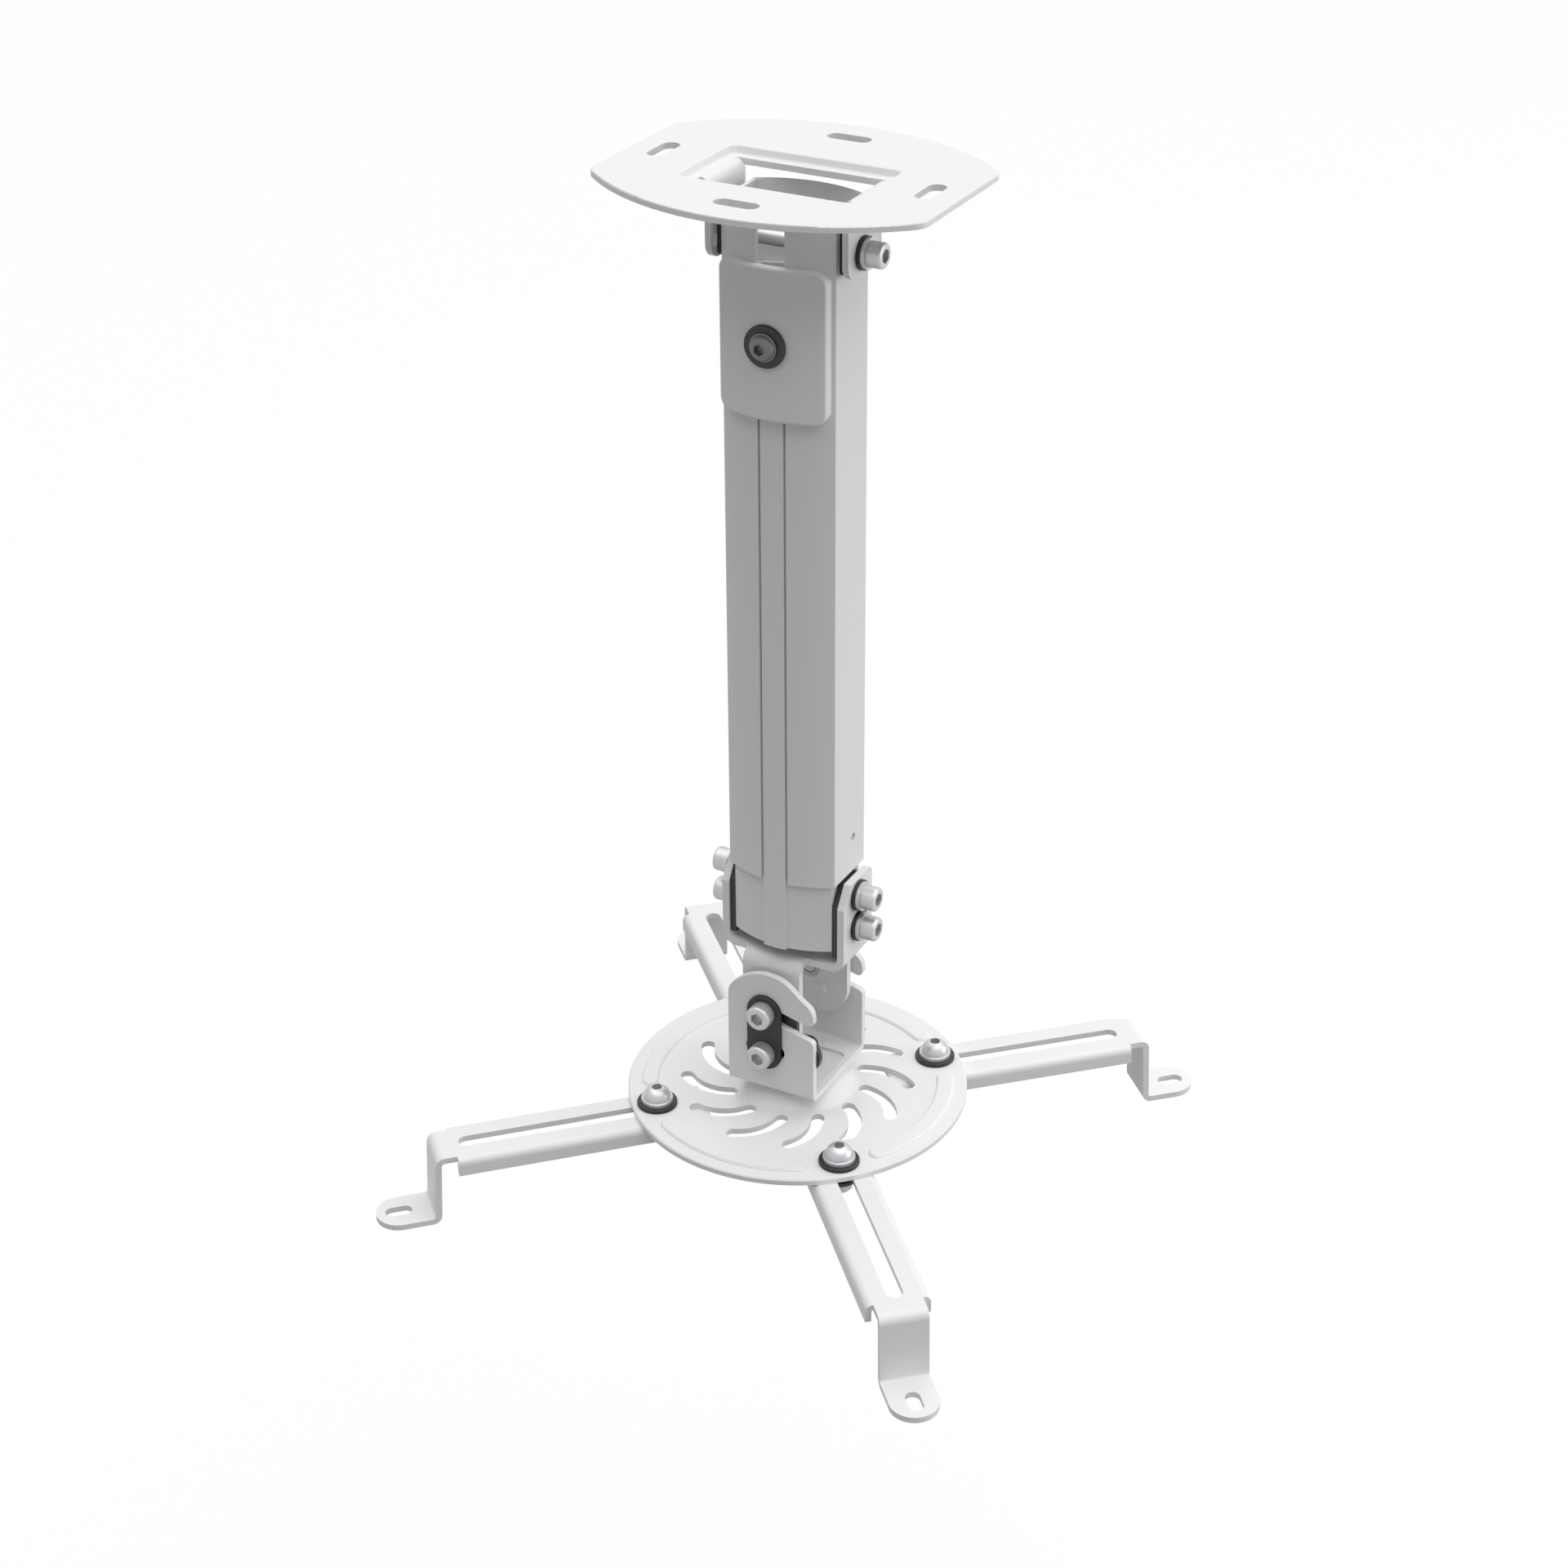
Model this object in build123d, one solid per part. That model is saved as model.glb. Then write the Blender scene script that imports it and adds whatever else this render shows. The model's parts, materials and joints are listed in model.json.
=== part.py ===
from build123d import *
import math
import os

# Ceiling mount with a telescopic column, two tilting yokes and a swivelling plate with four arms.
# Millimetres. Origin: centre of the ceiling plate's top face, +Z up, front of the column is -Y.

os.makedirs("parts", exist_ok=True)

# Clearances
run_gap = 0.05          # between faces that move on each other
bore_gap = 0.05         # radial, a plain shank in a hole it turns in
seat_gap = 0.02         # radial, threads and pressed pieces in one body

# Fasteners
m6_r = 3.0
m6_head_r = 5.0
m6_head_h = 6.0
m6_hex = 5.0
washer_t = 1.6
washer_r = 6.0
ring_r = 6.5
m8_r = 4.0
press_nut_r = 5.0

# Overall levels
drop = 430.0            # ceiling face to the underside of the feet, column pushed in
sheet = 2.5             # ceiling plate, disc and arms
yoke_sheet = 3.0
bracket_sheet = 2.8

# Ceiling plate
plate_half_x = 68.0
plate_end_half_y = 32.0
plate_half_y = 60.0
plate_corner_r = 8.0
plate_slot_x = 55.0
plate_slot_y = 44.2
plate_slot_len = 18.0
plate_slot_w = 7.0
recess_half_x = 37.0
recess_half_y = 22.3
recess_mid_y = -3.8
recess_depth = 3.0
recess_wall = 2.5       # run of the sloping tray wall and its bend
opening_half_y = 16.3
ear_outer_x = 29.6
ear_half_y = 13.5
ear_mid_y = -1.3
ear_bottom_z = -34.4
ear_corner_r = 6.0
ear_bend_r = 1.5
tie_slot_y = -11.6
tie_slot_z = -27.4
tie_slot_len = 5.0
tie_slot_w = 3.0
spacer_half_y = 7.0
spacer_top_z = -13.0
pivot_y = -3.0
pivot_z = -26.0

# Outer column
col_half_x = 23.7
col_flat_y = 12.9
col_apex_y = 19.6
col_wall = 1.6
col_top_z = -10.0
channel_half = 5.9
col_hole_y = 3.5
col_hole_up = 15.3      # above the lower end
side_hole_r = 1.6

# Inner column
slide_gap = 0.2
inner_wall = 2.0
inner_top_z = -42.0
rib_half = 4.9
end_block_up = 12.0     # above the upper side screw
end_block_in = 1.0
end_block_bore = 5.0

# Clamp on the column front
clamp_z = -60.5
clamp_half_x = 22.3
clamp_half_z = 30.0
clamp_t = 3.8
clamp_ring_r = 8.4
clamp_head_r = 5.6
clamp_head_h = 3.6
clamp_screw_len = 20.0
clamp_block_half_x = 11.0
clamp_block_half_z = 8.0
clamp_block_back_y = -2.0

# Cross yoke
yoke_side_inner_x = 24.7
yoke_half_y = 12.5
yoke_rise = 23.0        # base of the yoke above the bracket pivot
inner_rise = 6.0        # lower end of the inner column above the yoke's base
side_screw_rise = 28.0  # side screws above the yoke's base
yoke_top_up = 7.5       # top of the side ears above the side screws
col_end_up = 8.7        # lower end of the outer column above the side screws
side_lock_drop = 14.0
side_screw_len = 20.0
liner_chamfer_y = 6.0
liner_chamfer_z = 8.2
tilt_half_deg = 12.0
yoke_bend_r = 3.0
cross_x = -2.5          # centre line of the front and back ears
yoke_front_outer_y = 18.25
yoke_front_half_x = 13.0
yoke_back_right_x = 15.3
yoke_back_low = 20.0    # end of the back ear below the pivot
stud_x = 2.7
stud_drop = 9.3
stud_r = 3.0
stud_h = 1.6
lock_end = 9.5          # front ear below the lock bolt

# Lower bracket
bracket_outer_y = 23.5
bracket_half_x = 19.6
bracket_rise = 38.5     # pivot above the underside of the base
bracket_bend_r = 1.2
bracket_lock_drop = 19.1
bracket_pocket = 1.2
pocket_half_x = 16.7
pocket_half_y = 12.2
roll_half_deg = 15.0
slot_w = 6.6
hook_deg = -14.5
lip_r = 2.2
pad_half_x = 21.0
pad_lobe_r = 7.4
pad_shoulder_x = 19.3
pad_top_drop = 9.2
pad_mid_drop = 18.0
back_pad_r = 11.5

# Swivel disc
disc_r = 70.9
disc_turn = 43.7        # angle of the first arm bolt
arm_bolt_r = 60.5
boss_rise = 8.1
boss_top_r = 15.5
boss_base_r = 24.5
boss_soft_r = 5.0
swirl_w = 5.6
swirl_count = 12
emboss_in = 58.2
emboss_out = 65.2
emboss_h = 1.0
emboss_clear_deg = 15.5 # from an arm bolt to the end of a raised band

# Arms
arm_h = 31.3            # top face above the underside of the foot
arm_half_w = 13.0
arm_flange = 7.5
arm_bend_r = 3.0
arm_reach = 95.0        # bolt to the outer face of the web
arm_slot_inset = 11.3
arm_slot_w = 6.8
arm_tail = 20.0
arm_slot_tail = 12.0
web_half_w = 9.8
web_lean = 1.2
flange_stop = 9.0
foot_len = 24.1
foot_hole = 14.8
foot_slot_len = 11.0
foot_slot_w = 6.0
arm_washer_r = 8.3
arm_head_h = 6.4
arm_head_r = 6.6
arm_nut_h = 5.4
arm_places = {
    "right": (0.0, -0.5, -1.6),
    "back": (90.0, 0.0, 0.0),
    "left": (180.0, 0.5, 0.0),
    "front": (270.0, -2.0, 2.6),
}

# Levels that follow
foot_z = -drop
arm_top_z = foot_z + arm_h
disc_bottom_z = arm_top_z + run_gap
disc_top_z = disc_bottom_z + sheet
bracket_base_z = disc_top_z + boss_rise + run_gap
bracket_pivot_z = bracket_base_z + bracket_rise
yoke_base_top_z = bracket_pivot_z + yoke_rise
inner_bottom_z = yoke_base_top_z + inner_rise
side_screw_z = yoke_base_top_z + side_screw_rise
yoke_top_z = side_screw_z + yoke_top_up
col_bottom_z = side_screw_z + col_end_up
col_hole_z = col_bottom_z + col_hole_up
drill = 1.5 * plate_half_x  # reach of the cutters that go right through a piece


def save(shape, name):
    export_step(shape, "parts/" + name + ".step")


def spin(shape, axis_dir):
    """Turns a shape built along +Z so that it points along axis_dir."""
    return Plane(origin=(0, 0, 0), z_dir=axis_dir) * shape


def tube(r_out, r_in, height):
    ring = Circle(r_out) - Circle(r_in)
    return extrude(ring, height)


def cap_screw(shank_r, length, head_r, head_h, hex_size):
    """Head above z = 0, shank below."""
    head = Cylinder(head_r, head_h, align=(Align.CENTER, Align.CENTER, Align.MIN))
    head = fillet(head.edges().group_by(Axis.Z)[-1], min(1.2, head_h * 0.3))
    shank = Cylinder(shank_r, length, align=(Align.CENTER, Align.CENTER, Align.MAX))
    shank = chamfer(shank.edges().group_by(Axis.Z)[0], 0.6)
    key = extrude(RegularPolygon(hex_size / 2, 6, major_radius=False), head_h * 0.55)
    return head + shank - Pos(0, 0, head_h * 0.45) * key


def button_screw(shank_r, length, flange_r, flange_h, dome_r, head_h, hex_size):
    """Domed head above z = 0 on a flange, shank below."""
    top = Line((0, head_h), (dome_r * 0.45, head_h))
    side = ThreePointArc(
        (dome_r * 0.45, head_h), (dome_r * 0.85, head_h * 0.72), (dome_r, flange_h)
    )
    rest = Polyline(
        (dome_r, flange_h), (flange_r - 0.3, flange_h), (flange_r, flange_h - 0.3), (flange_r, 0),
        (shank_r, 0), (shank_r, 0.6 - length), (shank_r - 0.6, -length), (0, -length), (0, head_h)
    )
    face = make_face([Plane.XZ * top, Plane.XZ * side, Plane.XZ * rest])
    body = revolve(face, Axis.Z)
    key = extrude(RegularPolygon(hex_size / 2, 6, major_radius=False), head_h * 0.6)
    return body - Pos(0, 0, head_h * 0.42) * key


def hex_nut(across, height, hole_r):
    nut = extrude(RegularPolygon(across / 2, 6, major_radius=False), height)
    crown = Cylinder(across / 2 * 1.1, height, align=(Align.CENTER, Align.CENTER, Align.MIN))
    crown = chamfer(crown.edges(), height * 0.12)
    hole = Cylinder(hole_r, height * 3)
    return (nut & crown) - hole


def bar(points_plane, wires, half):
    """Extrudes a closed outline both ways from its plane."""
    face = make_face([points_plane * w for w in wires])
    return extrude(face, half, both=True)


def column_outline(inset):
    """Flat sided section with bowed front and back, moved in by inset."""
    bow = col_apex_y - col_flat_y
    bow_r = (col_half_x ** 2 + bow ** 2) / (2 * bow)
    centre_y = bow_r - col_apex_y
    half_x = col_half_x - inset
    r = bow_r - inset
    flat_y = math.sqrt(r * r - half_x * half_x) - centre_y
    apex_y = r - centre_y
    front = ThreePointArc((-half_x, -flat_y), (0, -apex_y), (half_x, -flat_y))
    right = Line((half_x, -flat_y), (half_x, flat_y))
    back = ThreePointArc((half_x, flat_y), (0, apex_y), (-half_x, flat_y))
    left = Line((-half_x, flat_y), (-half_x, -flat_y))
    return make_face([front, right, back, left])


def between(section, z_low, z_high):
    return Pos(0, 0, z_low) * extrude(section, z_high - z_low)


def slab(x0, x1, y0, y1, z0, z1):
    box = Box(x1 - x0, y1 - y0, z1 - z0, align=(Align.MIN, Align.MIN, Align.MIN))
    return Pos(x0, y0, z0) * box


def arc_slot(pivot, radius, half_deg, width, mid_deg):
    """Curved slot round a pivot, its middle at mid_deg."""
    a0 = mid_deg - half_deg
    arc = CenterArc(pivot, radius, a0, 2 * half_deg)
    return SlotArc(arc, width)


# Ceiling plate: bowed long sides, a pressed tray round the opening, two ears folded down
def ceiling_plate():
    left = Line((-plate_half_x, -plate_end_half_y), (-plate_half_x, plate_end_half_y))
    back = ThreePointArc(
        (-plate_half_x, plate_end_half_y), (0, plate_half_y), (plate_half_x, plate_end_half_y)
    )
    right = Line((plate_half_x, plate_end_half_y), (plate_half_x, -plate_end_half_y))
    front = ThreePointArc(
        (plate_half_x, -plate_end_half_y), (0, -plate_half_y), (-plate_half_x, -plate_end_half_y)
    )
    outline = make_face([left, back, right, front])
    outline = fillet(outline.vertices(), plate_corner_r)
    body = Pos(0, 0, -sheet) * extrude(outline, sheet)
    body = fillet(body.edges().group_by(Axis.Z)[-1], 0.6)
    tray_out = RectangleRounded(2 * recess_half_x, 2 * recess_half_y, 4)
    floor_x = recess_half_x - recess_wall
    floor_y = recess_half_y - recess_wall
    tray_in = RectangleRounded(2 * floor_x, 2 * floor_y, 2.5)
    lip = RectangleRounded(2 * floor_x + recess_wall, 2 * floor_y + recess_wall, 3.4)
    tray = Pos(0, recess_mid_y, -sheet - recess_depth) * extrude(tray_out, recess_depth + 0.5 * sheet)
    tray = fillet(tray.edges().group_by(Axis.Z)[0], 1.5)
    body += tray
    pocket = loft([Pos(0, recess_mid_y, -recess_depth) * tray_in, Pos(0, recess_mid_y, 0) * lip])
    pocket = fillet(pocket.edges().group_by(Axis.Z)[0], 1.2)
    body -= pocket
    rim = []
    for edge in body.edges().group_by(Axis.Z)[-1]:
        middle = edge.center()
        inside_x = abs(middle.X) < recess_half_x
        inside_y = abs(middle.Y - recess_mid_y) < recess_half_y
        if inside_x and inside_y:
            rim.append(edge)
    body = fillet(rim, 1.0)
    ear_in = ear_outer_x - sheet
    bend_out = ear_bend_r + sheet
    hole_x = ear_outer_x + ear_bend_r
    opening = Pos(0, recess_mid_y) * Rectangle(2 * hole_x, 2 * opening_half_y)
    body -= extrude(opening, 2 * ear_bottom_z)
    floor_top = -recess_depth
    floor_low = floor_top - sheet
    top_line = Line((hole_x + 0.5, floor_top), (hole_x, floor_top))
    top_bend = ThreePointArc(
        (hole_x, floor_top),
        (hole_x - bend_out * 0.7071, floor_top - bend_out * 0.2929),
        (ear_in, floor_top - bend_out),
    )
    in_line = Line((ear_in, floor_top - bend_out), (ear_in, ear_bottom_z))
    low_line = Line((ear_in, ear_bottom_z), (ear_outer_x, ear_bottom_z))
    out_line = Line((ear_outer_x, ear_bottom_z), (ear_outer_x, floor_low - ear_bend_r))
    low_bend = ThreePointArc(
        (ear_outer_x, floor_low - ear_bend_r),
        (hole_x - ear_bend_r * 0.7071, floor_low - ear_bend_r * 0.2929),
        (hole_x, floor_low),
    )
    back_line = Line((hole_x, floor_low), (hole_x + 0.5, floor_low))
    end_line = Line((hole_x + 0.5, floor_low), (hole_x + 0.5, floor_top))
    ear = bar(
        Plane.XZ,
        [top_line, top_bend, in_line, low_line, out_line, low_bend, back_line, end_line],
        ear_half_y,
    )
    trim = Rectangle(2 * ear_half_y, -2 * ear_bottom_z)
    trim = fillet(trim.vertices().group_by(Axis.Y)[0], ear_corner_r)
    ear_mask = extrude(Plane.YZ * trim, drill, both=True)
    ear = Pos(0, ear_mid_y, 0) * (ear & ear_mask)
    body += ear
    body += mirror(ear, Plane.YZ)
    along_y = Rot(0, 0, 90) * SlotOverall(plate_slot_len, plate_slot_w)
    along_x = SlotOverall(plate_slot_len, plate_slot_w)
    for side in (-1, 1):
        body -= Pos(side * plate_slot_x, 0, 0) * extrude(along_y, 2 * sheet, both=True)
        body -= Pos(0, side * plate_slot_y, 0) * extrude(along_x, 2 * sheet, both=True)
    tie = extrude(Plane.YZ * Rot(0, 0, 90) * SlotOverall(tie_slot_len, tie_slot_w), -drill)
    body -= Pos(0, tie_slot_y, tie_slot_z) * tie
    body -= Pos(0, pivot_y, pivot_z) * Rot(0, 90, 0) * Cylinder(m6_r + bore_gap, drill)
    nut_hole = Cylinder(press_nut_r + seat_gap, 4 * sheet)
    body -= Pos(-ear_outer_x, pivot_y, pivot_z) * Rot(0, 90, 0) * nut_hole
    return body


# Outer column: extruded section with an open channel down its front
def outer_column():
    section = column_outline(0) - column_outline(col_wall)
    section -= Pos(0, -col_apex_y) * Rectangle(2 * channel_half, col_apex_y)
    body = between(section, col_top_z, col_bottom_z)
    body -= Pos(0, pivot_y, pivot_z) * Rot(0, 90, 0) * Cylinder(m6_r + bore_gap, drill)
    side_hole = Cylinder(side_hole_r, col_half_x)
    body -= Pos(col_half_x, col_hole_y, col_hole_z) * Rot(0, 90, 0) * side_hole
    return body


# Inner column: hollow section with a rib that fills the channel
def inner_section():
    outer = column_outline(col_wall + slide_gap)
    rib = Pos(0, -col_apex_y / 2) * Rectangle(2 * rib_half, col_apex_y)
    rib = rib & column_outline(0.1)
    return outer + rib


def inner_bore(inset):
    return column_outline(col_wall + slide_gap + inner_wall + inset)


def inner_column():
    body = between(inner_section() - inner_bore(0), inner_bottom_z, inner_top_z)
    for drop_z in (0, side_lock_drop):
        hole = Rot(0, 90, 0) * Cylinder(m6_r + seat_gap, drill)
        body -= Pos(0, 0, side_screw_z - drop_z) * hole
    body -= Pos(0, -col_apex_y, clamp_z) * Rot(90, 0, 0) * Cylinder(m6_r + seat_gap, col_apex_y)
    return body


def end_block():
    body = between(inner_bore(seat_gap), inner_bottom_z + end_block_in, side_screw_z + end_block_up)
    for drop_z in (0, side_lock_drop):
        hole = Rot(0, 90, 0) * Cylinder(m6_r + seat_gap, drill)
        body -= Pos(0, 0, side_screw_z - drop_z) * hole
    body -= Cylinder(end_block_bore, 3 * drop)
    return body


def clamp_block():
    body = between(inner_bore(seat_gap), clamp_z - clamp_block_half_z, clamp_z + clamp_block_half_z)
    half_x = clamp_block_half_x
    body &= slab(-half_x, half_x, -col_apex_y, clamp_block_back_y, inner_bottom_z, inner_top_z)
    body -= Pos(0, 0, clamp_z) * Rot(90, 0, 0) * Cylinder(m6_r + seat_gap, 3 * col_apex_y)
    return body


# Clamp plate: follows the bowed front of the column
def clamp_plate():
    bow = col_apex_y - col_flat_y
    bow_r = (col_half_x ** 2 + bow ** 2) / (2 * bow)
    centre_y = bow_r - col_apex_y
    outer = Circle(bow_r + clamp_t)
    inner = Circle(bow_r + run_gap)
    band = Pos(0, centre_y) * (outer - inner)
    band &= Pos(0, -col_apex_y) * Rectangle(2 * clamp_half_x, 1.5 * col_apex_y)
    body = between(band, clamp_z - clamp_half_z, clamp_z + clamp_half_z)
    front_view = RectangleRounded(2 * clamp_half_x, 2 * clamp_half_z, 5)
    body &= Pos(0, 0, clamp_z) * extrude(Plane.XZ * front_view, drill, both=True)
    rim = body.faces().sort_by(Axis.Y)[0].edges()
    body = fillet(rim, 1.4)
    body -= Pos(0, -col_apex_y, clamp_z) * Rot(90, 0, 0) * Cylinder(m6_r + seat_gap, col_apex_y)
    return body


def clamp_face_y():
    return -(col_apex_y + clamp_t)


# Cross yoke: a cross of sheet, two ears folded up and two folded down
def yoke():
    base_top = yoke_base_top_z
    base_low = base_top - yoke_sheet
    x_in = yoke_side_inner_x
    x_out = x_in + yoke_sheet
    r_in = yoke_bend_r
    r_out = r_in + yoke_sheet
    k = 1 - math.sqrt(0.5)
    wires = [
        Line((-x_in, yoke_top_z), (-x_in, base_top + r_in)),
        ThreePointArc(
            (-x_in, base_top + r_in), (-x_in + r_in * k, base_top + r_in * k), (-x_in + r_in, base_top)
        ),
        Line((-x_in + r_in, base_top), (x_in - r_in, base_top)),
        ThreePointArc(
            (x_in - r_in, base_top), (x_in - r_in * k, base_top + r_in * k), (x_in, base_top + r_in)
        ),
        Line((x_in, base_top + r_in), (x_in, yoke_top_z)),
        Line((x_in, yoke_top_z), (x_out, yoke_top_z)),
        Line((x_out, yoke_top_z), (x_out, base_low + r_out)),
        ThreePointArc(
            (x_out, base_low + r_out), (x_out - r_out * k, base_low + r_out * k), (x_out - r_out, base_low)
        ),
        Line((x_out - r_out, base_low), (-x_out + r_out, base_low)),
        ThreePointArc(
            (-x_out + r_out, base_low), (-x_out + r_out * k, base_low + r_out * k), (-x_out, base_low + r_out)
        ),
        Line((-x_out, base_low + r_out), (-x_out, yoke_top_z)),
        Line((-x_out, yoke_top_z), (-x_in, yoke_top_z)),
    ]
    body = bar(Plane.XZ, wires, yoke_half_y)
    side_view = Polyline(
        (-yoke_half_y, yoke_top_z - 9), (-yoke_half_y + 6, yoke_top_z), (yoke_half_y - 2, yoke_top_z),
        (yoke_half_y, yoke_top_z - 2), (yoke_half_y, base_top + 6), (yoke_half_y - 4, base_low),
        (-yoke_half_y, base_low), (-yoke_half_y, yoke_top_z - 9)
    )
    body &= extrude(make_face(Plane.YZ * side_view), drill, both=True)
    y_out = yoke_front_outer_y
    y_in = y_out - yoke_sheet
    low_z = bracket_pivot_z - bracket_lock_drop - lock_end
    wires = [
        Line((-y_out, low_z), (-y_out, base_top - r_out)),
        ThreePointArc(
            (-y_out, base_top - r_out), (-y_out + r_out * k, base_top - r_out * k), (-y_out + r_out, base_top)
        ),
        Line((-y_out + r_out, base_top), (y_out - r_out, base_top)),
        ThreePointArc(
            (y_out - r_out, base_top), (y_out - r_out * k, base_top - r_out * k), (y_out, base_top - r_out)
        ),
        Line((y_out, base_top - r_out), (y_out, low_z)),
        Line((y_out, low_z), (y_in, low_z)),
        Line((y_in, low_z), (y_in, base_low - r_in)),
        ThreePointArc(
            (y_in, base_low - r_in), (y_in - r_in * k, base_low - r_in * k), (y_in - r_in, base_low)
        ),
        Line((y_in - r_in, base_low), (-y_in + r_in, base_low)),
        ThreePointArc(
            (-y_in + r_in, base_low), (-y_in + r_in * k, base_low - r_in * k), (-y_in, base_low - r_in)
        ),
        Line((-y_in, base_low - r_in), (-y_in, low_z)),
        Line((-y_in, low_z), (-y_out, low_z)),
    ]
    wide = yoke_back_right_x - cross_x
    legs = Pos(cross_x, 0, 0) * bar(Plane.YZ, wires, wide)
    height = base_top - low_z
    front_mask = Rectangle(2 * yoke_front_half_x, height)
    front_mask = fillet(front_mask.vertices().group_by(Axis.Y)[0], 10)
    front_mask = Pos(cross_x, 0, low_z + height / 2) * extrude(Plane.XZ * front_mask, 2 * y_out)
    back_h = base_top - bracket_pivot_z + yoke_back_low
    back_left_x = cross_x - yoke_front_half_x
    back_w = yoke_back_right_x - back_left_x
    back_mask = Rectangle(back_w, back_h)
    back_mask = fillet(back_mask.vertices().group_by(Axis.Y)[0], back_w / 2 - 2.0)
    back_mid = (yoke_back_right_x + back_left_x) / 2
    back_mask = Pos(back_mid, 0, base_top - back_h / 2) * extrude(Plane.XZ * back_mask, -2 * y_out)
    body += legs & (front_mask + back_mask)
    stud = Cylinder(stud_r, stud_h + yoke_sheet / 2, align=(Align.CENTER, Align.CENTER, Align.MIN))
    stud = fillet(stud.edges().group_by(Axis.Z)[-1], 1.2)
    stud_y = y_out - yoke_sheet / 2
    body += Pos(stud_x, stud_y, bracket_pivot_z - stud_drop) * spin(stud, (0, -1, 0))
    pivot = Rot(0, 90, 0) * Cylinder(m6_r + bore_gap, drill)
    body -= Pos(0, 0, side_screw_z) * pivot
    swing = arc_slot((0, side_screw_z), side_lock_drop, tilt_half_deg + 1, slot_w, 270)
    body -= extrude(Plane.YZ * swing, drill, both=True)
    front_hole = Rot(90, 0, 0) * Cylinder(m6_r + seat_gap, y_out)
    body -= Pos(cross_x, -y_out, bracket_pivot_z) * front_hole
    body -= Pos(cross_x, -y_out, bracket_pivot_z - bracket_lock_drop) * front_hole
    back_hole = Rot(90, 0, 0) * Cylinder(press_nut_r + seat_gap, y_out)
    body -= Pos(cross_x, y_out, bracket_pivot_z) * back_hole
    return body


def side_liners():
    outer_x = yoke_side_inner_x - seat_gap
    inner_x = col_half_x - col_wall - slide_gap + run_gap
    half_y = yoke_half_y - 1.0
    top = yoke_top_up - 0.3
    low = yoke_base_top_z + yoke_bend_r - side_screw_z
    outline = Polyline(
        (-half_y, low), (-half_y, top - liner_chamfer_z), (-liner_chamfer_y, top), (liner_chamfer_y, top),
        (half_y, top - liner_chamfer_z), (half_y, low), (-half_y, low)
    )
    shape = Pos(0, side_screw_z) * make_face(outline)
    shape -= Pos(0, side_screw_z) * Circle(m6_r + bore_gap)
    shape -= arc_slot((0, side_screw_z), side_lock_drop, tilt_half_deg + 1, slot_w, 270)
    pad = extrude(Plane.YZ * shape, outer_x - inner_x)
    right = Pos(inner_x, 0, 0) * pad
    return right, mirror(right, Plane.YZ)


# Lower bracket: a U of sheet, hook slot and curved slot in the ears
def lower_bracket():
    low = bracket_base_z
    top = low + bracket_sheet
    y_out = bracket_outer_y
    y_in = y_out - bracket_sheet
    high = bracket_pivot_z + 17.5
    r_in = bracket_bend_r
    r_out = r_in + bracket_sheet
    k = 1 - math.sqrt(0.5)
    wires = [
        Line((-y_in, high), (-y_in, top + r_in)),
        ThreePointArc((-y_in, top + r_in), (-y_in + r_in * k, top + r_in * k), (-y_in + r_in, top)),
        Line((-y_in + r_in, top), (y_in - r_in, top)),
        ThreePointArc((y_in - r_in, top), (y_in - r_in * k, top + r_in * k), (y_in, top + r_in)),
        Line((y_in, top + r_in), (y_in, high)),
        Line((y_in, high), (y_out, high)),
        Line((y_out, high), (y_out, low + r_out)),
        ThreePointArc((y_out, low + r_out), (y_out - r_out * k, low + r_out * k), (y_out - r_out, low)),
        Line((y_out - r_out, low), (-y_out + r_out, low)),
        ThreePointArc((-y_out + r_out, low), (-y_out + r_out * k, low + r_out * k), (-y_out, low + r_out)),
        Line((-y_out, low + r_out), (-y_out, high)),
        Line((-y_out, high), (-y_in, high)),
    ]
    body = bar(Plane.YZ, wires, bracket_half_x)
    hx = bracket_half_x
    z0 = bracket_pivot_z
    edge = [
        Line((-hx, low - 1), (-hx, z0 + 5)),
        Spline([(-hx, z0 + 5), (-16.5, z0 + 10.8), (-3.0, z0 + 17.3)], tangents=[(0.1, 1), (1, 0.12)]),
        Line((-3.0, z0 + 17.3), (-3.0, z0 + 17.31)),
        Spline([(-3.0, z0 + 17.31), (6.5, z0 + 15.6), (14.8, z0 + 9.0), (hx, z0 + 1.2)],
               tangents=[(1, 0.0), (0, -1)]),
        Line((hx, z0 + 1.2), (hx, low - 1)),
        Line((hx, low - 1), (-hx, low - 1)),
    ]
    body &= extrude(make_face([Plane.XZ * e for e in edge]), drill, both=True)
    hook_len = 2 * hx
    hook = Pos(cross_x, z0) * Rot(0, 0, hook_deg) * Pos(hook_len / 2, 0) * Rectangle(hook_len, slot_w)
    hook += Pos(cross_x, z0) * Circle(m6_r + bore_gap + 0.25)
    curve = arc_slot((cross_x, z0), bracket_lock_drop, roll_half_deg + 2, slot_w, 270)
    cut = extrude(Plane.XZ * (hook + curve), drill, both=True)
    body -= cut
    mouth_z = z0 + (hx - cross_x) * math.tan(math.radians(hook_deg))
    lips = []
    for edge in body.edges().filter_by(Axis.Y):
        middle = edge.center()
        if middle.X > hx - lip_r and abs(middle.Z - mouth_z) < 0.7 * slot_w:
            lips.append(edge)
    body = fillet(lips, lip_r)
    pocket = RectangleRounded(2 * pocket_half_x, 2 * pocket_half_y, 3)
    body -= Pos(0, 0, top - bracket_pocket) * extrude(pocket, bracket_pocket + bracket_bend_r)
    body -= Pos(0, 0, low) * Cylinder(m8_r + seat_gap, 4 * bracket_sheet)
    return body


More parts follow.
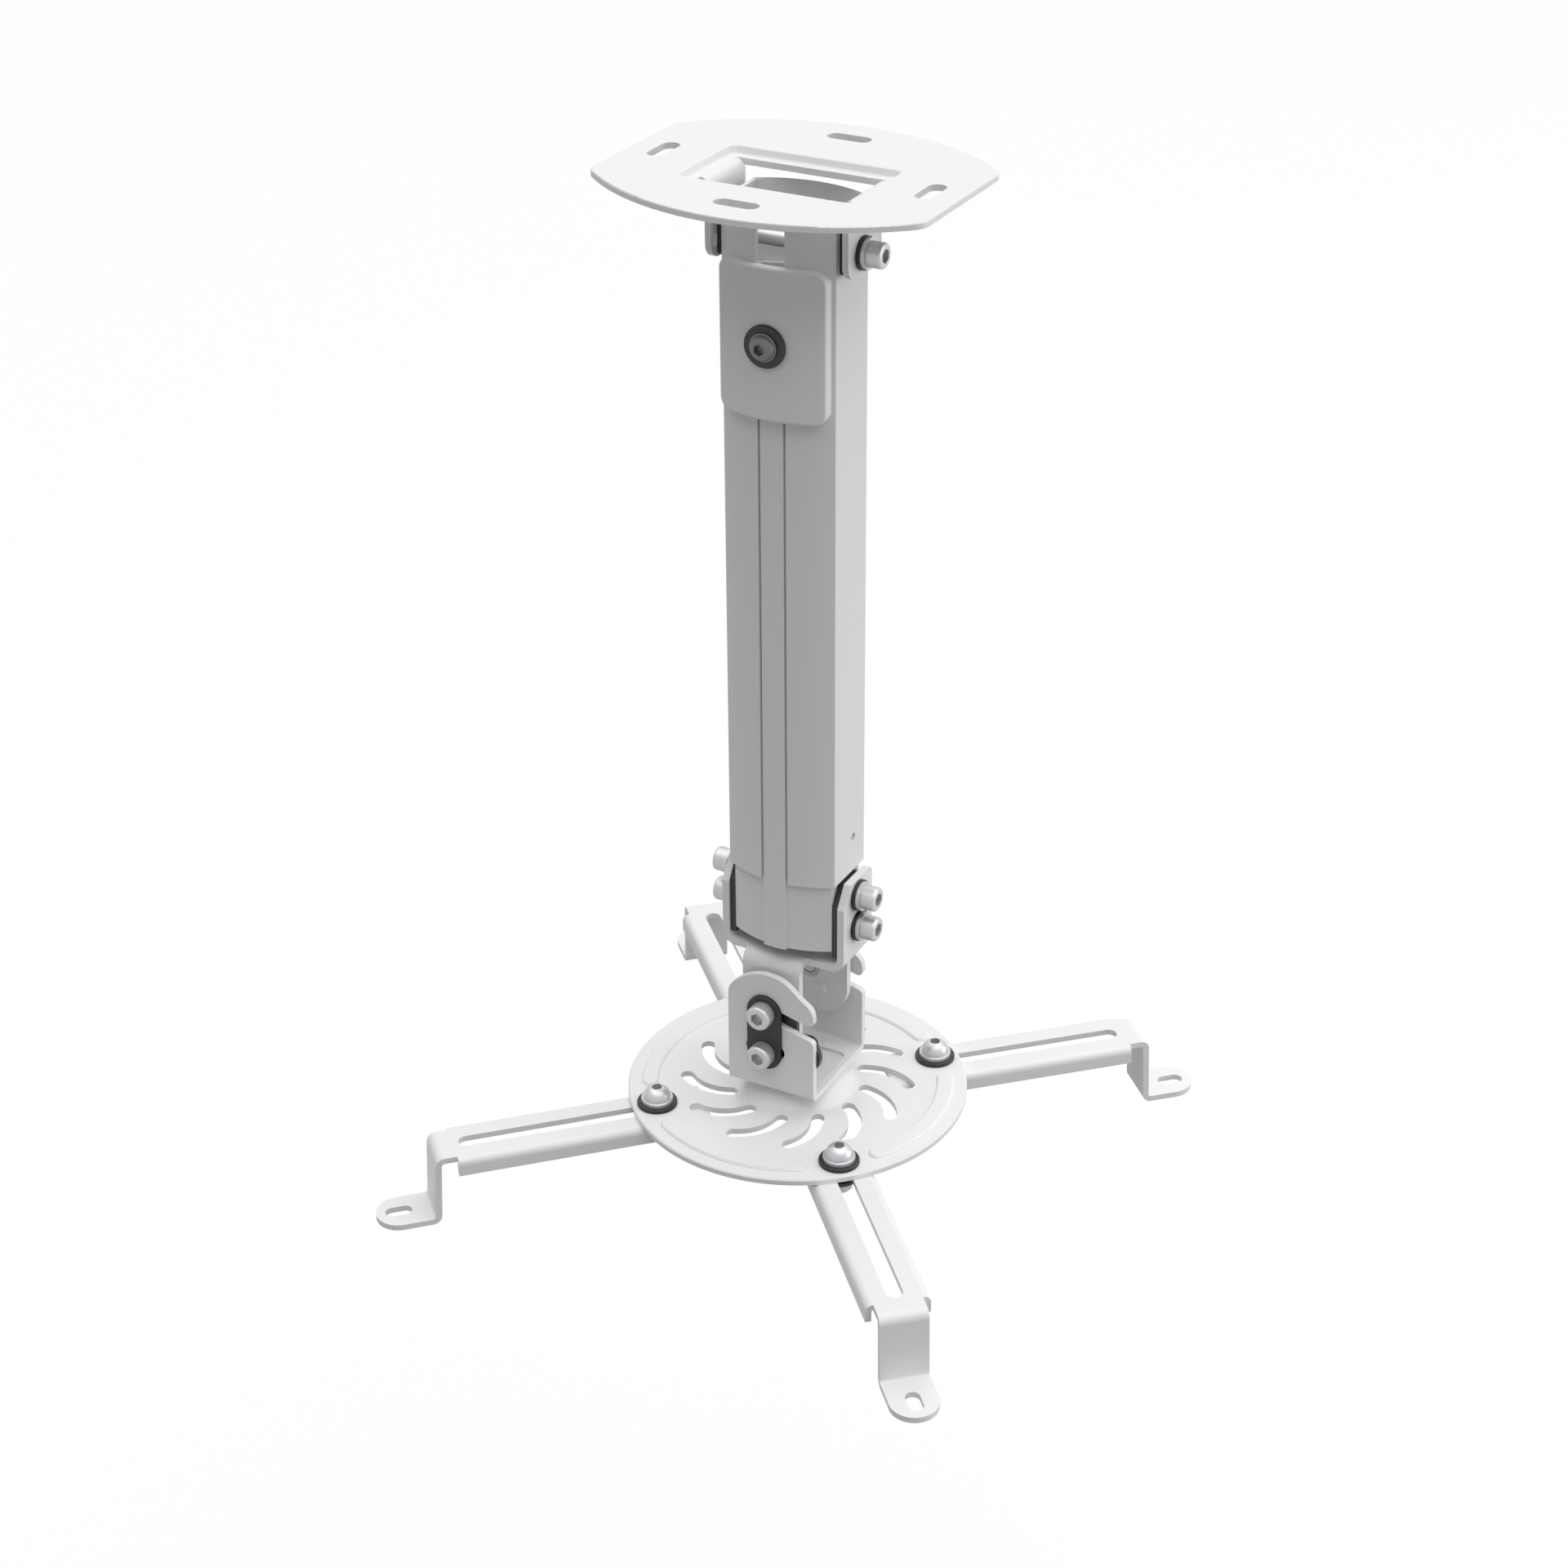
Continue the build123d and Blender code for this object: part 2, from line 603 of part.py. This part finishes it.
def friction_pads():
    z0 = bracket_pivot_z
    t = bracket_outer_y - bracket_sheet - run_gap - yoke_front_outer_y
    lobe_mid = z0 - pad_mid_drop
    shoulder_h = pad_mid_drop - pad_top_drop
    big = Pos(0, lobe_mid) * SlotOverall(2 * pad_half_x, 2 * pad_lobe_r)
    big += Pos(0, lobe_mid + shoulder_h / 2) * RectangleRounded(2 * pad_shoulder_x, shoulder_h, 3)
    big += Pos(cross_x, z0 - pad_mid_drop / 2) * Rectangle(2 * yoke_front_half_x, pad_mid_drop)
    big += Pos(cross_x, z0) * Circle(yoke_front_half_x)
    big -= Pos(cross_x, z0) * Circle(m6_r + seat_gap)
    big -= Pos(cross_x, z0 - bracket_lock_drop) * Circle(m6_r + seat_gap)
    front = Pos(0, -yoke_front_outer_y, 0) * extrude(Plane.XZ * big, t)
    small = Pos(cross_x, z0) * (Circle(back_pad_r) - Circle(m6_r + seat_gap))
    back = Pos(0, yoke_front_outer_y, 0) * extrude(Plane.XZ * small, -t)
    return front, back


def stadium_washers():
    z0 = bracket_pivot_z
    y0 = bracket_outer_y + run_gap
    slot = Rot(0, 0, 90) * SlotCenterToCenter(bracket_lock_drop, 15.4)
    shape = Pos(cross_x, z0 - bracket_lock_drop / 2) * slot
    for drop_z in (0, bracket_lock_drop):
        shape -= Pos(cross_x, z0 - drop_z) * Circle(m6_r + seat_gap)
    front = Pos(0, -y0, 0) * extrude(Plane.XZ * shape, washer_t)
    front = fillet(front.faces().sort_by(Axis.Y)[0].outer_wire().edges(), 0.4)
    ring = Pos(cross_x, z0) * (Circle(7.7) - Circle(m6_r + seat_gap))
    back = Pos(0, y0, 0) * extrude(Plane.XZ * ring, -washer_t)
    return front, back


# Swivel disc: pressed boss, swirl slots, raised bands between the arm bolts
def swivel_disc():
    low = disc_bottom_z
    top = disc_top_z
    boss_top = bracket_base_z - run_gap
    rise = boss_top - top
    outline = Polyline(
        (0, boss_top), (boss_top_r, boss_top), (boss_base_r, top), (disc_r - 0.5, top), (disc_r, top - 0.5),
        (disc_r, low), (boss_base_r - 1.2, low), (boss_top_r - 1.2, low + rise), (0, low + rise),
        (0, boss_top)
    )
    body = revolve(make_face(Plane.XZ * outline), Axis.Z)
    rim = body.edges().filter_by(GeomType.CIRCLE)
    soft = [e for e in rim if abs(e.radius - boss_top_r) < 0.01 or abs(e.radius - boss_base_r) < 0.01]
    body = fillet(soft, boss_soft_r)
    points = []
    for r, deg in ((46.4, 3.2), (37.5, 17.0), (29.0, 24.5)):
        a = math.radians(deg)
        points.append((r * math.cos(a), r * math.sin(a)))
    swirl = SlotArc(ThreePointArc(*points), swirl_w)
    cut = Pos(0, 0, low - 1) * extrude(swirl, 6)
    for i in range(swirl_count):
        body -= Rot(0, 0, disc_turn - 24 + i * 360 / swirl_count) * cut
    mid_r = (emboss_in + emboss_out) / 2
    width = emboss_out - emboss_in
    around = sorted(quarter for quarter, turn, shift in arm_places.values())
    for here, after in zip(around, around[1:] + [around[0] + 360]):
        mid = disc_turn + (here + after) / 2
        half_deg = (after - here) / 2 - emboss_clear_deg
        raised = arc_slot((0, 0), mid_r, half_deg, width, mid)
        hollow = arc_slot((0, 0), mid_r, half_deg, width - 1.6, mid)
        band = extrude(raised, emboss_h)
        band = chamfer(band.edges().group_by(Axis.Z)[-1], 0.7)
        body += Pos(0, 0, top) * band
        body -= Pos(0, 0, low) * extrude(hollow, emboss_h)
    for quarter in around:
        a = math.radians(disc_turn + quarter)
        spot = (arm_bolt_r * math.cos(a), arm_bolt_r * math.sin(a), low)
        body -= Pos(*spot) * Cylinder(m6_r + bore_gap, 20)
    body -= Pos(0, 0, boss_top) * Cylinder(m8_r + bore_gap, 40)
    return body


# One arm, bolt axis at the origin, reaching out along +X, underside of the foot at z = -arm_h
def arm():
    h = arm_half_w
    r_out = arm_bend_r
    r_in = max(r_out - sheet, 0.5)
    k_out = r_out * (1 - math.sqrt(0.5))
    k_in = r_in * (1 - math.sqrt(0.5))
    hi = h - sheet
    wires = [
        Line((-h, -arm_flange), (-h, -r_out)),
        ThreePointArc((-h, -r_out), (-h + k_out, -k_out), (-h + r_out, 0)),
        Line((-h + r_out, 0), (h - r_out, 0)),
        ThreePointArc((h - r_out, 0), (h - k_out, -k_out), (h, -r_out)),
        Line((h, -r_out), (h, -arm_flange)),
        Line((h, -arm_flange), (hi, -arm_flange)),
        Line((hi, -arm_flange), (hi, -sheet - r_in)),
        ThreePointArc((hi, -sheet - r_in), (hi - k_in, -sheet - k_in), (hi - r_in, -sheet)),
        Line((hi - r_in, -sheet), (-hi + r_in, -sheet)),
        ThreePointArc((-hi + r_in, -sheet), (-hi + k_in, -sheet - k_in), (-hi, -sheet - r_in)),
        Line((-hi, -sheet - r_in), (-hi, -arm_flange)),
        Line((-hi, -arm_flange), (-h, -arm_flange)),
    ]
    rail_end = arm_reach - flange_stop
    face = make_face([Plane.YZ * w for w in wires])
    body = Pos(-arm_tail, 0, 0) * extrude(face, arm_tail + rail_end, dir=(1, 0, 0))
    strap_path = Polyline(
        (rail_end - 1, 0), (arm_reach, 0), (arm_reach + web_lean, -arm_h + sheet),
        (arm_reach + foot_len, -arm_h + sheet), (arm_reach + foot_len, -arm_h),
        (arm_reach + web_lean - sheet, -arm_h), (arm_reach - sheet, -sheet), (rail_end - 1, -sheet),
        (rail_end - 1, 0)
    )
    strap = make_face(strap_path)
    corners = strap.vertices()
    top_out = corners.sort_by_distance((arm_reach, 0))[0]
    top_in = corners.sort_by_distance((arm_reach - sheet, -sheet))[0]
    low_in = corners.sort_by_distance((arm_reach + web_lean, -arm_h + sheet))[0]
    low_out = corners.sort_by_distance((arm_reach + web_lean - sheet, -arm_h))[0]
    strap = fillet([top_out, low_out], sheet + 1.4)
    strap = fillet(
        [strap.vertices().sort_by_distance((top_in.X, top_in.Y))[0],
         strap.vertices().sort_by_distance((low_in.X, low_in.Y))[0]], 1.4
    )
    strap = extrude(Plane.XZ * strap, web_half_w, both=True)
    foot_end = arm_reach + foot_len - web_half_w
    mask = Pos((foot_end) / 2, 0) * Rectangle(foot_end, 2 * web_half_w)
    mask += Pos(foot_end, 0) * Circle(web_half_w)
    strap &= extrude(mask, 60, both=True)
    body += strap
    slot_len = arm_reach - arm_slot_inset + arm_slot_tail
    slot_mid = (arm_reach - arm_slot_inset - arm_slot_tail) / 2
    body -= Pos(slot_mid, 0, 0) * extrude(SlotOverall(slot_len, arm_slot_w), 5, both=True)
    foot_slot = Pos(arm_reach + foot_hole, 0, -arm_h) * extrude(
        SlotOverall(foot_slot_len, foot_slot_w), 6, both=True
    )
    body -= foot_slot
    return body


save(ceiling_plate(), "ceiling_plate")
save(outer_column(), "outer_column")
save(inner_column(), "inner_column")
save(end_block(), "end_block")
save(clamp_block(), "clamp_block")
save(clamp_plate(), "clamp_plate")
save(yoke(), "cross_yoke")
save(lower_bracket(), "lower_bracket")
save(swivel_disc(), "swivel_disc")

# Top pivot: one screw through both ears, spacers beside the column, nut pressed in the left ear
spacer_in = col_half_x + run_gap
spacer_t = ear_outer_x - sheet - spacer_in
spacer_h = spacer_top_z - ear_bottom_z - 0.4
spacer = Pos(pivot_y, spacer_top_z - spacer_h / 2) * RectangleRounded(2 * spacer_half_y, spacer_h, 2)
spacer -= Pos(pivot_y, pivot_z) * Circle(m6_r + seat_gap)
spacer_right = Pos(spacer_in, 0, 0) * extrude(Plane.YZ * spacer, spacer_t)
save(Compound([spacer_right, mirror(spacer_right, Plane.YZ)]), "pivot_spacers")
ring = tube(ring_r, m6_r + seat_gap, washer_t)
flat = tube(washer_r, m6_r + seat_gap, washer_t)
save(Pos(ear_outer_x, pivot_y, pivot_z) * spin(ring, (1, 0, 0)), "pivot_ring")
save(Pos(ear_outer_x + washer_t, pivot_y, pivot_z) * spin(flat, (1, 0, 0)), "pivot_washer")
pivot_screw = cap_screw(m6_r, 2 * ear_outer_x + 2 * washer_t, m6_head_r, m6_head_h, m6_hex)
pivot_seat_x = ear_outer_x + 2 * washer_t
save(Pos(pivot_seat_x, pivot_y, pivot_z) * spin(pivot_screw, (1, 0, 0)), "pivot_screw")
press_nut = tube(press_nut_r, m6_r + seat_gap, sheet)
save(Pos(-ear_outer_x, pivot_y, pivot_z) * spin(press_nut, (1, 0, 0)), "pivot_nut")

# Clamp hardware
clamp_ring = tube(clamp_ring_r, m6_r + seat_gap, washer_t)
clamp_ring = fillet(clamp_ring.edges().group_by(Axis.Z)[-1], 0.5)
save(Pos(0, clamp_face_y(), clamp_z) * spin(clamp_ring, (0, -1, 0)), "clamp_ring")
clamp_screw = button_screw(
    m6_r, clamp_screw_len, clamp_head_r, 1.0, clamp_head_r - 0.6, clamp_head_h, 4.0
)
save(Pos(0, clamp_face_y() - washer_t, clamp_z) * spin(clamp_screw, (0, -1, 0)), "clamp_screw")

# Side screws of the cross yoke, two on each side
liner_right, liner_left = side_liners()
save(Compound([liner_right, liner_left]), "side_liners")
ear_x = yoke_side_inner_x + yoke_sheet + run_gap
rings = []
flats = []
screws = []
side_screw = cap_screw(m6_r, side_screw_len, m6_head_r, m6_head_h, m6_hex)
for z in (side_screw_z, side_screw_z - side_lock_drop):
    one_ring = Pos(ear_x, 0, z) * spin(ring, (1, 0, 0))
    one_flat = Pos(ear_x + washer_t, 0, z) * spin(flat, (1, 0, 0))
    one_screw = Pos(ear_x + 2 * washer_t, 0, z) * spin(side_screw, (1, 0, 0))
    rings += [one_ring, mirror(one_ring, Plane.YZ)]
    flats += [one_flat, mirror(one_flat, Plane.YZ)]
    screws += [one_screw, mirror(one_screw, Plane.YZ)]
save(Compound(rings), "side_rings")
save(Compound(flats), "side_washers")
save(Compound(screws), "side_screws")

# Bolts of the lower bracket: pivot and lock at the front, pivot at the back
pad_front, pad_back = friction_pads()
save(Compound([pad_front, pad_back]), "friction_pads")
plate_front, plate_back = stadium_washers()
save(Compound([plate_front, plate_back]), "bracket_washers")
bolt_y = bracket_outer_y + run_gap + washer_t
nut_h = 4.0
bolt_len = bolt_y - (yoke_front_outer_y - yoke_sheet) + nut_h + 0.8
bracket_bolt = cap_screw(m6_r, bolt_len, 5.3, 5.6, m6_hex)
nut = hex_nut(10.0, nut_h, m6_r + seat_gap)
nut_y = yoke_front_outer_y - yoke_sheet
upper_bolt = Pos(cross_x, -bolt_y, bracket_pivot_z) * spin(bracket_bolt, (0, -1, 0))
lock_bolt = Pos(0, 0, -bracket_lock_drop) * upper_bolt
back_len = bolt_y - (yoke_front_outer_y - yoke_sheet)
short_bolt = cap_screw(m6_r, back_len, 5.3, 5.6, m6_hex)
back_bolt = Pos(cross_x, bolt_y, bracket_pivot_z) * spin(short_bolt, (0, 1, 0))
save(Compound([upper_bolt, lock_bolt, back_bolt]), "bracket_bolts")
upper_nut = Pos(cross_x, -nut_y, bracket_pivot_z) * spin(nut, (0, 1, 0))
lock_nut = Pos(0, 0, -bracket_lock_drop) * upper_nut
flush_nut = tube(press_nut_r, m6_r + seat_gap, yoke_sheet)
back_nut = Pos(cross_x, nut_y, bracket_pivot_z) * spin(flush_nut, (0, 1, 0))
save(Compound([upper_nut, lock_nut, back_nut]), "bracket_nuts")

# Swivel bolt between the lower bracket and the disc
swivel_z = bracket_base_z + bracket_sheet - bracket_pocket
save(Pos(0, 0, swivel_z) * tube(10.0, m8_r + seat_gap, washer_t), "swivel_washer")
swivel_head_z = swivel_z + washer_t
boss_under_z = bracket_base_z - run_gap - sheet
swivel_len = swivel_head_z - boss_under_z + 6.3
swivel_bolt = cap_screw(m8_r, swivel_len, 7.5, 5.0, 6.0)
save(Pos(0, 0, swivel_head_z) * swivel_bolt, "swivel_bolt")
swivel_nut = hex_nut(13.0, 5.6, m8_r + seat_gap)
save(Pos(0, 0, boss_under_z - run_gap - 5.6) * swivel_nut, "swivel_nut")

# Arms and their bolts
one_arm = arm()
arm_bolt_len = 2 * (sheet + washer_t + run_gap) + arm_nut_h + 1.5
arm_bolt = button_screw(m6_r, arm_bolt_len, arm_head_r, 1.8, 5.6, arm_head_h, 4.0)
arm_washer = tube(arm_washer_r, m6_r + seat_gap, washer_t)
arm_washer = fillet(arm_washer.edges().group_by(Axis.Z)[-1], 0.5)
low_washer = tube(arm_washer_r, m6_r + seat_gap, washer_t)
arm_nut = hex_nut(10.0, arm_nut_h, m6_r + seat_gap)
for place, (quarter, turn, shift) in arm_places.items():
    a = math.radians(disc_turn + quarter)
    centre = Pos(arm_bolt_r * math.cos(a), arm_bolt_r * math.sin(a), 0)
    heading = Rot(0, 0, disc_turn + quarter + turn)
    save(centre * Pos(0, 0, arm_top_z) * heading * Pos(shift, 0, 0) * one_arm, "arm_" + place)
    washer_z = disc_top_z + run_gap
    save(centre * Pos(0, 0, washer_z) * arm_washer, "arm_washer_" + place)
    save(centre * Pos(0, 0, washer_z + washer_t) * heading * arm_bolt, "arm_bolt_" + place)
    under_z = arm_top_z - sheet - run_gap
    save(centre * Pos(0, 0, under_z - washer_t) * low_washer, "arm_ring_" + place)
    save(centre * Pos(0, 0, under_z - washer_t - arm_nut_h) * heading * arm_nut, "arm_nut_" + place)
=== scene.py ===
import json
import math

import bmesh
import bpy
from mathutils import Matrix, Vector

# Camera: the photograph's viewing angle, lens fitted to the mount's own edges
CAMERA_PLACE = (0.5131, -0.9716, 0.3493)
CAMERA_TURN = 27.39
CAMERA_DIP = 25.94
CAMERA_LENS = 71.95
CAMERA_SHIFT = (-0.0218, -0.1)
# The mount hangs: the floor lies below the feet of the fully opened, tilted column
FLOOR_LEVEL = -0.76
FLOOR_HALF = 20.0
FLOOR_GREY = 0.24
FLOOR_GLOW = 0.73
AIR_LEVEL = 0.32
OVERHEAD_POWER = 2.4
OVERHEAD_SPREAD = 90.0
SOFTBOX_POWER = 16.0
SOFTBOX_WIDTH = 1.2

bpy.ops.wm.read_factory_settings(use_empty=True)
scene = bpy.context.scene
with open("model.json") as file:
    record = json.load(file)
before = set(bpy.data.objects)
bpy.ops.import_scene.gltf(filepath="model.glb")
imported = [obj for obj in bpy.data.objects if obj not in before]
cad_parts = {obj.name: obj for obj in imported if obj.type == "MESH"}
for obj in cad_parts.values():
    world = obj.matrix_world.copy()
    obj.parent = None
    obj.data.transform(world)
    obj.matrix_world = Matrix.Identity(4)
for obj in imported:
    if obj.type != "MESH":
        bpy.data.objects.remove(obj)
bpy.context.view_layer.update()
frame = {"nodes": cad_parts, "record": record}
cad_nodes = frame["nodes"]


# A fine grain shared by every finish: roughness that varies a little, and a shallow relief
def make_grain_group():
    group = bpy.data.node_groups.new("coat grain", "ShaderNodeTree")
    face = group.interface
    for name, value in (("Scale", 800.0), ("Stretch", 1.0), ("Roughness", 0.4), ("Spread", 0.05)):
        socket = face.new_socket(name=name, in_out="INPUT", socket_type="NodeSocketFloat")
        socket.default_value = value
    face.new_socket(name="Roughness", in_out="OUTPUT", socket_type="NodeSocketFloat")
    face.new_socket(name="Height", in_out="OUTPUT", socket_type="NodeSocketFloat")
    nodes = group.nodes
    links = group.links
    given = nodes.new("NodeGroupInput")
    result = nodes.new("NodeGroupOutput")
    place = nodes.new("ShaderNodeTexCoord")
    stretch = nodes.new("ShaderNodeCombineXYZ")
    stretch.inputs["X"].default_value = 1.0
    stretch.inputs["Y"].default_value = 1.0
    links.new(given.outputs["Stretch"], stretch.inputs["Z"])
    scaled = nodes.new("ShaderNodeVectorMath")
    scaled.operation = "MULTIPLY"
    links.new(place.outputs["Object"], scaled.inputs[0])
    links.new(stretch.outputs["Vector"], scaled.inputs[1])
    grain = nodes.new("ShaderNodeTexNoise")
    grain.inputs["Detail"].default_value = 3.0
    links.new(scaled.outputs["Vector"], grain.inputs["Vector"])
    links.new(given.outputs["Scale"], grain.inputs["Scale"])
    centred = nodes.new("ShaderNodeMath")
    centred.operation = "SUBTRACT"
    centred.inputs[1].default_value = 0.5
    links.new(grain.outputs["Fac"], centred.inputs[0])
    swing = nodes.new("ShaderNodeMath")
    swing.operation = "MULTIPLY_ADD"
    links.new(centred.outputs["Value"], swing.inputs[0])
    links.new(given.outputs["Spread"], swing.inputs[1])
    links.new(given.outputs["Roughness"], swing.inputs[2])
    links.new(swing.outputs["Value"], result.inputs["Roughness"])
    links.new(grain.outputs["Fac"], result.inputs["Height"])
    return group


GRAIN = make_grain_group()


def make_finish(name, colour, metallic, roughness, spread, relief, scale, stretch=1.0):
    mat = bpy.data.materials.new(name)
    mat.use_nodes = True
    nodes = mat.node_tree.nodes
    links = mat.node_tree.links
    shader = nodes["Principled BSDF"]
    shader.inputs["Base Color"].default_value = (*colour, 1.0)
    shader.inputs["Metallic"].default_value = metallic
    grain = nodes.new("ShaderNodeGroup")
    grain.node_tree = GRAIN
    grain.inputs["Scale"].default_value = scale
    grain.inputs["Stretch"].default_value = stretch
    grain.inputs["Roughness"].default_value = roughness
    grain.inputs["Spread"].default_value = spread
    links.new(grain.outputs["Roughness"], shader.inputs["Roughness"])
    bump = nodes.new("ShaderNodeBump")
    bump.inputs["Strength"].default_value = relief
    bump.inputs["Distance"].default_value = 0.0001
    links.new(grain.outputs["Height"], bump.inputs["Height"])
    links.new(bump.outputs["Normal"], shader.inputs["Normal"])
    return mat


white_powder = make_finish("white powder coat", (0.80, 0.80, 0.80), 0.0, 0.42, 0.12, 0.25, 900.0)
column_paint = make_finish("white column coat", (0.77, 0.775, 0.785), 0.0, 0.36, 0.10, 0.12, 900.0, 0.04)
black_plastic = make_finish("black plastic", (0.012, 0.012, 0.013), 0.0, 0.45, 0.12, 0.3, 700.0)
zinc_steel = make_finish("zinc steel", (0.56, 0.56, 0.575), 0.7, 0.42, 0.16, 0.2, 600.0)
plain_steel = make_finish("plain steel", (0.45, 0.45, 0.47), 0.8, 0.42, 0.16, 0.25, 500.0)
dark_steel = make_finish("dark steel", (0.17, 0.17, 0.175), 0.6, 0.48, 0.16, 0.2, 600.0)

FINISHES = {
    "white_coat": white_powder,
    "column_coat": column_paint,
    "black_plastic": black_plastic,
    "zinc_steel": zinc_steel,
    "plain_steel": plain_steel,
}
for part in frame["record"]["subparts"]:
    node = cad_nodes[part["node"]]
    node.data.materials.clear()
    node.data.materials.append(FINISHES[part["material_slot"]])
# The clamp's own screw is a darker steel than the other screws
clamp_screw = cad_nodes["clamp_screw"]
clamp_screw.data.materials.clear()
clamp_screw.data.materials.append(dark_steel)


# Is the ray one that shows the white surroundings: from the camera, a reflection or a clear piece
def add_seen_rays(nodes, links):
    path = nodes.new("ShaderNodeLightPath")
    mirrored = nodes.new("ShaderNodeMath")
    mirrored.operation = "MAXIMUM"
    links.new(path.outputs["Is Glossy Ray"], mirrored.inputs[0])
    links.new(path.outputs["Is Transmission Ray"], mirrored.inputs[1])
    seen = nodes.new("ShaderNodeMath")
    seen.operation = "MAXIMUM"
    links.new(path.outputs["Is Camera Ray"], seen.inputs[0])
    links.new(mirrored.outputs["Value"], seen.inputs[1])
    return seen


# Floor: white as a studio sweep, and still darkened a little by the mount's shadow
def lay_floor():
    shape = bmesh.new()
    bmesh.ops.create_grid(shape, x_segments=1, y_segments=1, size=FLOOR_HALF)
    bmesh.ops.translate(shape, verts=shape.verts, vec=(0.0, 0.0, FLOOR_LEVEL))
    mesh = bpy.data.meshes.new("studio_floor")
    shape.to_mesh(mesh)
    shape.free()
    floor = bpy.data.objects.new("studio_floor", mesh)
    scene.collection.objects.link(floor)
    mat = bpy.data.materials.new("studio white")
    mat.use_nodes = True
    nodes = mat.node_tree.nodes
    links = mat.node_tree.links
    nodes.remove(nodes["Principled BSDF"])
    out = nodes["Material Output"]
    matt = nodes.new("ShaderNodeBsdfDiffuse")
    matt.inputs["Color"].default_value = (FLOOR_GREY, FLOOR_GREY, FLOOR_GREY, 1.0)
    glow = nodes.new("ShaderNodeEmission")
    glow.inputs["Color"].default_value = (1.0, 1.0, 1.0, 1.0)
    seen = add_seen_rays(nodes, links)
    level = nodes.new("ShaderNodeMath")
    level.operation = "MULTIPLY"
    level.inputs[1].default_value = FLOOR_GLOW
    links.new(seen.outputs["Value"], level.inputs[0])
    links.new(level.outputs["Value"], glow.inputs["Strength"])
    both = nodes.new("ShaderNodeAddShader")
    links.new(matt.outputs["BSDF"], both.inputs[0])
    links.new(glow.outputs["Emission"], both.inputs[1])
    links.new(both.outputs["Shader"], out.inputs["Surface"])
    mesh.materials.append(mat)


lay_floor()


# Studio air: plain light on the mount, white to the camera and in reflections
def fill_studio():
    world = bpy.data.worlds.new("studio air")
    scene.world = world
    world.use_nodes = True
    nodes = world.node_tree.nodes
    links = world.node_tree.links
    air = nodes["Background"]
    seen = add_seen_rays(nodes, links)
    level = nodes.new("ShaderNodeMapRange")
    level.inputs["To Min"].default_value = AIR_LEVEL
    level.inputs["To Max"].default_value = 1.0
    links.new(seen.outputs["Value"], level.inputs["Value"])
    links.new(level.outputs["Result"], air.inputs["Strength"])
    air.inputs["Color"].default_value = (1.0, 1.0, 1.0, 1.0)


fill_studio()


def hang_lamp(name, data, place, target):
    lamp = bpy.data.objects.new(name, data)
    lamp.location = place
    aim = Vector(target) - Vector(place)
    lamp.rotation_euler = aim.to_track_quat("-Z", "Y").to_euler()
    scene.collection.objects.link(lamp)


# A wide even light from above, and a softbox on the right
def light_studio():
    above = bpy.data.lights.new("overhead light", "SUN")
    above.energy = OVERHEAD_POWER
    above.angle = math.radians(OVERHEAD_SPREAD)
    hang_lamp("overhead light", above, (0.2, 0.1, 2.0), (0.0, 0.0, 0.0))
    side = bpy.data.lights.new("right hand softbox", "AREA")
    side.shape = "DISK"
    side.size = SOFTBOX_WIDTH
    side.energy = SOFTBOX_POWER
    hang_lamp("right hand softbox", side, (2.0, 1.0, 0.0), (0.0, 0.0, -0.2))


light_studio()

lens = bpy.data.cameras.new("photo camera")
lens.sensor_width = 36.0
lens.lens = CAMERA_LENS
lens.shift_x, lens.shift_y = CAMERA_SHIFT
lens.clip_start = 0.01
lens.clip_end = 100.0
camera = bpy.data.objects.new("photo camera", lens)
turn = math.radians(CAMERA_TURN)
dip = math.radians(CAMERA_DIP)
view_line = Vector((-math.sin(turn) * math.cos(dip), math.cos(turn) * math.cos(dip), -math.sin(dip)))
camera.location = CAMERA_PLACE
camera.rotation_euler = view_line.to_track_quat("-Z", "Y").to_euler()
scene.collection.objects.link(camera)
scene.camera = camera

scene.view_settings.view_transform = "Standard"
